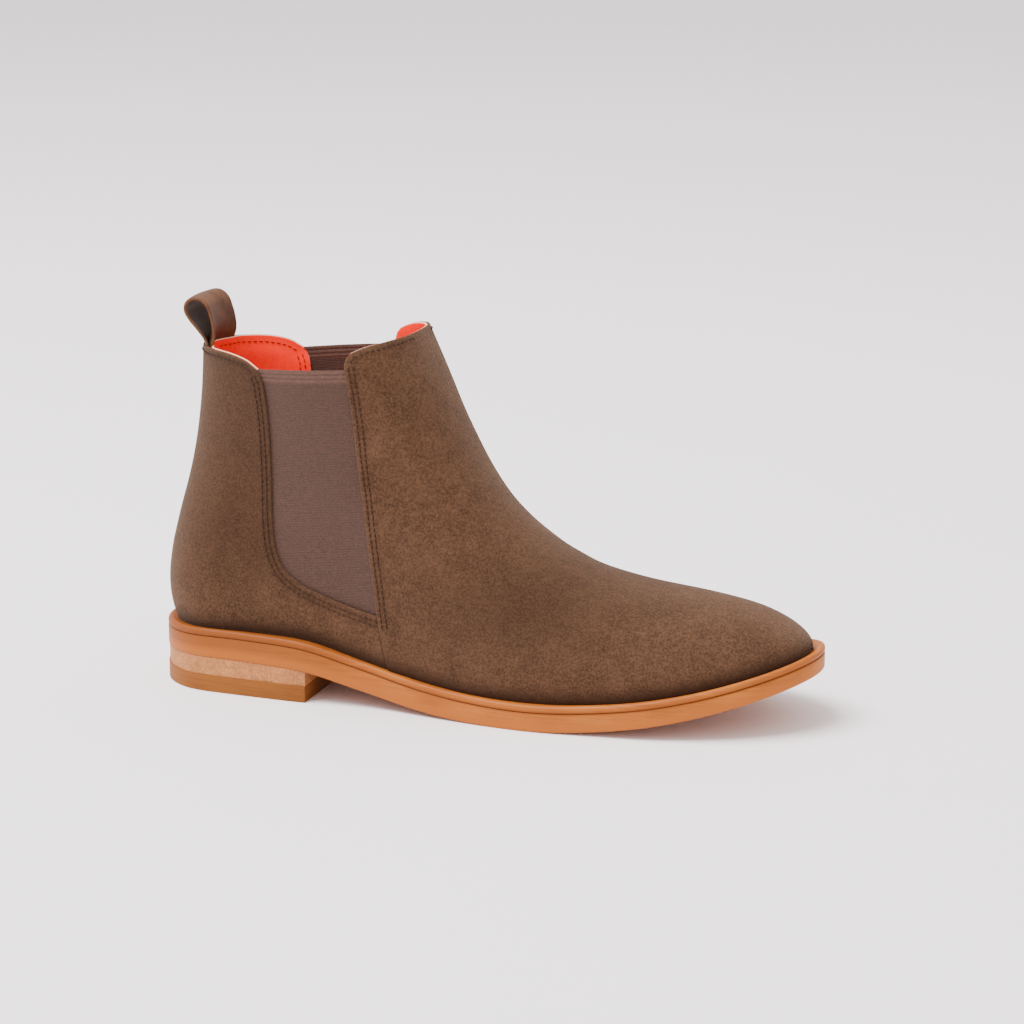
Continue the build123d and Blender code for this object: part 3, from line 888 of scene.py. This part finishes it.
class Paint:
    # one material's node tree, with a Principled shader already in place

    def __init__(self, material, **fixed):
        material.use_nodes = True
        self.material, self.tree = material, material.node_tree
        self.shader = self.tree.nodes["Principled BSDF"]
        for key, value in fixed.items():
            self.shader.inputs[key.replace("_", " ")].default_value = value
        self.here = self.node("ShaderNodeTexCoord", output="Object")

    def node(self, kind, settings=None, output=0, **inputs):
        made = self.tree.nodes.new(kind)
        for key, value in (settings or {}).items():
            setattr(made, key, value)
        for key, value in inputs.items():
            socket = made.inputs[key.replace("_", " ")]
            if isinstance(value, Wire):
                self.tree.links.new(value.socket, socket)
            else:
                socket.default_value = value
        return Wire(self.tree, made.outputs[output])

    def noise(self, size, detail=3, rough=0.55, stretch=None, twist=0.0):
        # size is the width of a patch in mm; stretch makes it longer along x, y or z
        at = self.here
        if stretch:
            at = self.node("ShaderNodeMapping", Vector=at, Scale=tuple(1 / k for k in stretch))
        return self.node("ShaderNodeTexNoise", Vector=at, Scale=1000 / size, Detail=detail, Roughness=rough,
                         Distortion=twist)

    def cells(self, size, feature="F1", stretch=None):
        at = self.here
        if stretch:
            at = self.node("ShaderNodeMapping", Vector=at, Scale=tuple(1 / k for k in stretch))
        return self.node("ShaderNodeTexVoronoi", dict(feature=feature), Vector=at, Scale=1000 / size)

    def mark(self, name):
        return self.node("ShaderNodeAttribute", dict(attribute_name=name), output="Fac")

    def finish(self, colour, roughness=None, relief=None, height=0.1, strength=1.0):
        # relief is a wire from 0 to 1 and height is what it stands for, in mm
        self.tree.links.new(colour.socket, self.shader.inputs["Base Color"])
        if roughness is not None:
            self.tree.links.new(roughness.socket, self.shader.inputs["Roughness"])
        if relief is not None:
            bump = self.node("ShaderNodeBump", Height=relief, Distance=height * mm, Strength=strength,
                             output="Normal")
            self.tree.links.new(bump.socket, self.shader.inputs["Normal"])
        return self.material


def newPaint(name, **fixed):
    return Paint(bpy.data.materials.new(name), **fixed)


def suedePaint():
    p = newPaint("suede", Sheen_Weight=0.1, Sheen_Roughness=0.5, Sheen_Tint=(0.95, 0.72, 0.58, 1), IOR=1.35)
    p.shader.inputs["Specular IOR Level"].default_value = 0.12
    cloud = p.noise(30, 3, 0.55, twist=0.5)
    patch = p.noise(9, 4, 0.6, twist=0.4)
    brush = p.noise(2.4, 4, 0.7, stretch=(1.6, 1, 0.8))
    nap = p.noise(1.0, 4, 0.75)
    fuzz = p.noise(0.36, 3, 0.8)
    tone = (cloud.over(0.3, 0.72) * 0.14 + patch.over(0.3, 0.72) * 0.16 + brush.over(0.3, 0.7) * 0.18
            + nap.over(0.4, 0.6) * 0.44 + fuzz.over(0.4, 0.6) * 0.2 - 0.06)
    body = tone.blend(linear(46, 29, 18), linear(95, 67, 49))
    # painted shade: the low mark darkens the suede near the welt, on the quarters' upper parts and in a vamp
    # patch
    low = p.mark("low").blend(body, linear(46, 30, 19))
    lip = (p.mark("rim") * (nap * 0.9 + 0.1)).over(0.2, 1.0).blend(low, linear(86, 60, 38))
    rough = 0.86 + 0.1 * nap
    return p.finish(lip, rough, nap * 0.6 + fuzz * 0.3 + brush * 0.35 + patch * 0.4, 0.5, 1.0)


def elasticPaint():
    p = newPaint("elastic", Sheen_Weight=0.05, Sheen_Roughness=0.5)
    crest, band = p.mark("crest"), p.mark("band")
    yarn = p.noise(0.85, 4, 0.7, stretch=(1.3, 1.3, 0.8))
    speck = p.noise(0.42, 2, 0.6)
    cloud = p.noise(22, 3, 0.5)
    # painted shade in the grooves between the ribs, mixed with the yarn's own speckle
    yarnAndRibShade = (crest * 0.36 + yarn.over(0.35, 0.65) * 0.42 + speck * 0.4).over(0.2, 1.05)
    field = yarnAndRibShade.blend(linear(45, 25, 15), linear(76, 46, 32))
    edge = yarnAndRibShade.blend(linear(57, 34, 25), linear(89, 57, 43))
    tone = band.over(0.3, 0.7).blend(field, edge)
    tone = (cloud.over(0.3, 0.7) * 0.16).blend(tone, linear(64, 42, 36))
    return p.finish(tone, 0.8 + 0.12 * yarn, yarn, 0.12, 0.6)


def liningPaint():
    p = newPaint("liningLeather", IOR=1.4)
    p.shader.inputs["Specular IOR Level"].default_value = 0.06
    grain = p.cells(0.9)
    cloud = p.noise(16, 4)
    fine = p.noise(2.2, 4)
    tone = (cloud * 0.7 + fine * 0.5).over(0.3, 0.9).blend(linear(238, 22, 0), linear(255, 36, 1))
    cut = (p.mark("rim") * 0.85).blend(tone, linear(238, 196, 172))
    return p.finish(cut, 0.6 + 0.2 * fine, grain * 0.6 + fine * 0.4, 0.07, 0.6)


def tabPaint():
    p = newPaint("tabLeather", IOR=1.4)
    p.shader.inputs["Specular IOR Level"].default_value = 0.25
    grain = p.cells(0.75)
    cloud = p.noise(7, 4, 0.6)
    fine = p.noise(1.1, 4, 0.6)
    tone = (cloud * 0.8 + fine * 0.4).over(0.3, 0.9).blend(linear(61, 36, 21), linear(97, 62, 38))
    cut = (p.mark("rim") * 0.6).blend(tone, linear(44, 26, 21))
    return p.finish(cut, 0.5 + 0.2 * fine, grain * 0.5 + fine * 0.6, 0.06, 0.5)


def solePaint(name, low, high, base, wear=1.0):
    # solid sole leather: long fibres and flecks, painted shade in the groove, and darker toward the heel
    p = newPaint(name, IOR=1.45, Coat_Weight=0.03, Coat_Roughness=0.35)
    p.shader.inputs["Specular IOR Level"].default_value = 0.16
    streak = p.noise(1.5, 5, 0.7, stretch=(16, 16, 0.6))
    cloud = p.noise(24, 3, 0.5)
    fleck = p.noise(0.9, 4, 0.7, stretch=(3, 3, 0.7))
    tone = (streak * 0.7 + cloud * 0.5 + fleck * 0.25).over(0.45, 1.05).blend(low, high)
    # painted shade in the groove where the welt meets the outsole
    tone = p.mark("grooveShade").blend(tone, tuple(0.8 * c for c in low))
    tone = p.mark("heel").blend(tone, tuple(0.72 * c for c in low))
    tone = (p.mark("warm") * 0.8).blend(tone, tuple(a * b for a, b in zip(high, (0.84, 0.76, 0.66))))
    speck = (fleck.over(0.6, 0.74) * 0.45 * wear).blend(tone, tuple(0.55 * c for c in low))
    return p.finish(speck, base + 0.22 * fleck, streak * 0.5 + fleck * 0.5, 0.06, 0.5)


def boardPaint(name, low, high, size, relief=0.1, rough=0.75, metal=0.0):
    # plain stock with a mottled grain, for boards, fillers and padding
    p = newPaint(name, Metallic=metal)
    cloud, fine = p.noise(size * 9, 4, 0.6), p.noise(size, 5, 0.7)
    grain = p.cells(size * 1.4)
    tone = (cloud * 0.4 + fine * 0.5 + grain * 0.3).over(0.3, 0.95).blend(low, high)
    return p.finish(tone, rough + 0.15 * fine, fine * 0.6 + grain * 0.4, relief, 0.7)


def wovenPaint(name, low, high, pitch):
    # plain weave, with pitch the distance between threads in mm
    p = newPaint(name, Sheen_Weight=0.1)
    warp, weft = (p.node("ShaderNodeTexWave", dict(bands_direction=way), Vector=p.here, Scale=314 / pitch,
                         Distortion=0.3, output="Fac") for way in "XZ")
    fine = p.noise(pitch, 4, 0.6)
    weave = warp * 0.5 + weft * 0.5
    tone = (weave * 0.6 + fine * 0.5).over(0.2, 0.95).blend(low, high)
    return p.finish(tone, 0.8 + 0.1 * fine, weave, 0.15, 0.6)


def threadPaint(material, low, high):
    p = Paint(material)
    p.shader.inputs["Specular IOR Level"].default_value = 0.15
    ply = p.noise(0.35, 3, 0.6)
    tone = ply.over(0.3, 0.7).blend(low, high)
    return p.finish(tone, 0.6 + 0.2 * ply, ply, 0.08, 0.6)


paints = dict(
    suede=suedePaint(), elastic=elasticPaint(), lining=liningPaint(), tab=tabPaint(),
    welt=solePaint("weltLeather", linear(133, 67, 19), linear(171, 96, 32), 0.4),
    outsole=solePaint("outsoleLeather", linear(141, 74, 24), linear(178, 103, 38), 0.42),
    lift=boardPaint("liftLeather", linear(131, 76, 31), linear(191, 124, 65), 0.75, 0.08, 0.6),
    topPiece=solePaint("topPieceRubber", linear(112, 62, 20), linear(136, 82, 31), 0.5, 0.7),
    leatherboard=boardPaint("leatherboard", linear(150, 110, 78), linear(190, 150, 112), 1.4),
    fibreboard=boardPaint("fibreboard", linear(168, 142, 108), linear(204, 182, 148), 1.0),
    cork=boardPaint("cork", linear(140, 98, 62), linear(206, 168, 120), 2.4, 0.3),
    foam=boardPaint("foam", linear(196, 190, 176), linear(228, 224, 212), 0.7, 0.12, 0.8),
    stiffener=boardPaint("stiffener", linear(206, 196, 176), linear(232, 224, 208), 0.9, 0.08, 0.6),
    steel=boardPaint("steel", linear(150, 152, 156), linear(196, 198, 202), 0.6, 0.03, 0.28, 1.0),
    canvas=wovenPaint("canvas", linear(176, 164, 140), linear(222, 212, 190), 0.8),
    thread=threadPaint(threadMaterial, linear(34, 20, 13), linear(60, 38, 26)),
    liningThread=threadPaint(liningThread, linear(132, 22, 8), linear(170, 38, 14)),
)
slotPaint = {item: item for item in ("suede", "elastic", "leatherboard", "fibreboard", "cork", "foam",
                                     "stiffener", "canvas", "steel")}
slotPaint.update(lining_leather="lining", tab_leather="tab", sole_tan="outsole", top_piece_rubber="topPiece")

# marks that the paints read: painted shade low on the suede near the welt, on the quarters' upper parts and
# in a patch on the vamp, painted shade in the groove, the heel end and the outsole's warmer band
for obj in (vamp, *quarters.values()):
    at = spots(obj)
    x, z = at[:, 0] - heelX, at[:, 2]
    # painted shade: the suede is darkened near the welt, on the quarters rising from about 30 to 80 mm up,
    # and in a patch low on the vamp
    paintedShade = ease(30, 80, z) if obj is not vamp else np.exp(-((x - 180) / 50) ** 2 - ((z - 52) / 22) ** 2)
    setMark(obj, "low", np.maximum(0.8 * (1 - ease(-0.5, 9.0, z - feather(x))), 0.5 * paintedShade))
at = spots(welt)
# painted shade: the welt's bottom and the outsole's top are marked where they meet in the groove
setMark(welt, "grooveShade", 1 - ease(-2.9, -2.1, at[:, 2] - feather(at[:, 0] - heelX)))
at = spots(outsole)
drop = outsoleTop(at[:, 0] - heelX) - at[:, 2]
setMark(outsole, "grooveShade", 0.8 * (1 - ease(0.3, 1.1, drop)))
for piece in (welt, outsole):
    setMark(piece, "heel", 0.75 * (1 - ease(40, 130, spots(piece)[:, 0] - heelX)))
span = outsoleTop(at[:, 0] - heelX) - floorAt(at[:, 0] - heelX)
setMark(outsole, "warm", ease(0.35, 0.75, drop / np.maximum(span, 1)))

for obj, paint in ((vamp, "suede"), (quarters[-1], "suede"), (quarters[1], "suede"), (gores[-1], "elastic"),
                   (gores[1], "elastic"), (tab, "tab"), (welt, "welt"), (outsole, "outsole"),
                   *((o, "lining") for o in linings), *((o, "canvas") for o in stiff.values())):
    obj.data.materials.clear()
    obj.data.materials.append(paints[paint])
stiff["toePuff"].data.materials[0] = paints["stiffener"]
special = dict(heel_lift_upper="lift", heel_lift_lower="lift")  # the other nodes go by their slot
slots = {item["node"]: item["material_slot"] for item in frame["record"]["subparts"]}
for name, obj in frame["nodes"].items():
    use = paints[special.get(name) or slotPaint.get(slots.get(name), "leatherboard")]
    obj.data.materials.clear()
    obj.data.materials.append(use)
# rounded edges on the plain heel pieces, in mm
softEdge = dict(heel_lift_lower=0.25, heel_lift_upper=0.25, heel_top_piece=0.45)
for name, radius in softEdge.items():
    frame["nodes"][name].modifiers.new("weld", "WELD").merge_threshold = 0.002 * mm
    bevel = frame["nodes"][name].modifiers.new("bevel", "BEVEL")
    bevel.width, bevel.segments, bevel.limit_method = radius * mm, 3, "ANGLE"
    bevel.angle_limit = radians(40)
print("materials", len(paints))

view = dict(azimuth=17.5, elevation=13.9, distance=1.45, lens=116.0, shiftX=0.0234, shiftY=0.0288)
target = Vector((150 + heelX, axisY, 70)) * mm
a, e = radians(view["azimuth"]), radians(view["elevation"])
camData = bpy.data.cameras.new("camera")
cam = bpy.data.objects.new("camera", camData)
bpy.context.collection.objects.link(cam)
cam.location = target + Vector((sin(a) * cos(e), -cos(a) * cos(e), sin(e))) * view["distance"]
cam.rotation_euler = (target - cam.location).to_track_quat("-Z", "Y").to_euler()
camData.lens = view["lens"]
camData.sensor_width = 36
camData.shift_x, camData.shift_y = view["shiftX"], view["shiftY"]
camData.clip_end = 50
bpy.context.scene.camera = cam

floorCorners = [(-6000, -6000, 0), (6000, -6000, 0), (6000, 12000, 0), (-6000, 12000, 0)]
floor = meshOf("floor", np.array(floorCorners, float), [(0, 1, 2, 3)])
floorPaint = newPaint("floor")
grain = floorPaint.noise(260, 3)
floor.data.materials.append(floorPaint.finish(grain.blend(linear(240, 233, 233), linear(244, 237, 238)),
                                              0.7 + 0.1 * grain))
lightSet = dict(power=170, size=1.7, at=(-0.9, -0.5, 2.5), world=(0.92, 0.9, 0.9, 1), worldStrength=1.62)
light = bpy.data.lights.new("softbox", "AREA")
light.energy, light.size = lightSet["power"], lightSet["size"]
lamp = bpy.data.objects.new("softbox", light)
bpy.context.collection.objects.link(lamp)
lamp.location = lightSet["at"]
lamp.rotation_euler = (-lamp.location).to_track_quat("-Z", "Y").to_euler()  # aimed at the middle of the floor
world = bpy.data.worlds.new("world")
bpy.context.scene.world = world
world.use_nodes = True
sky = world.node_tree.nodes["Background"]
sky.inputs["Color"].default_value = lightSet["world"]
sky.inputs["Strength"].default_value = lightSet["worldStrength"]
print("camera and light")
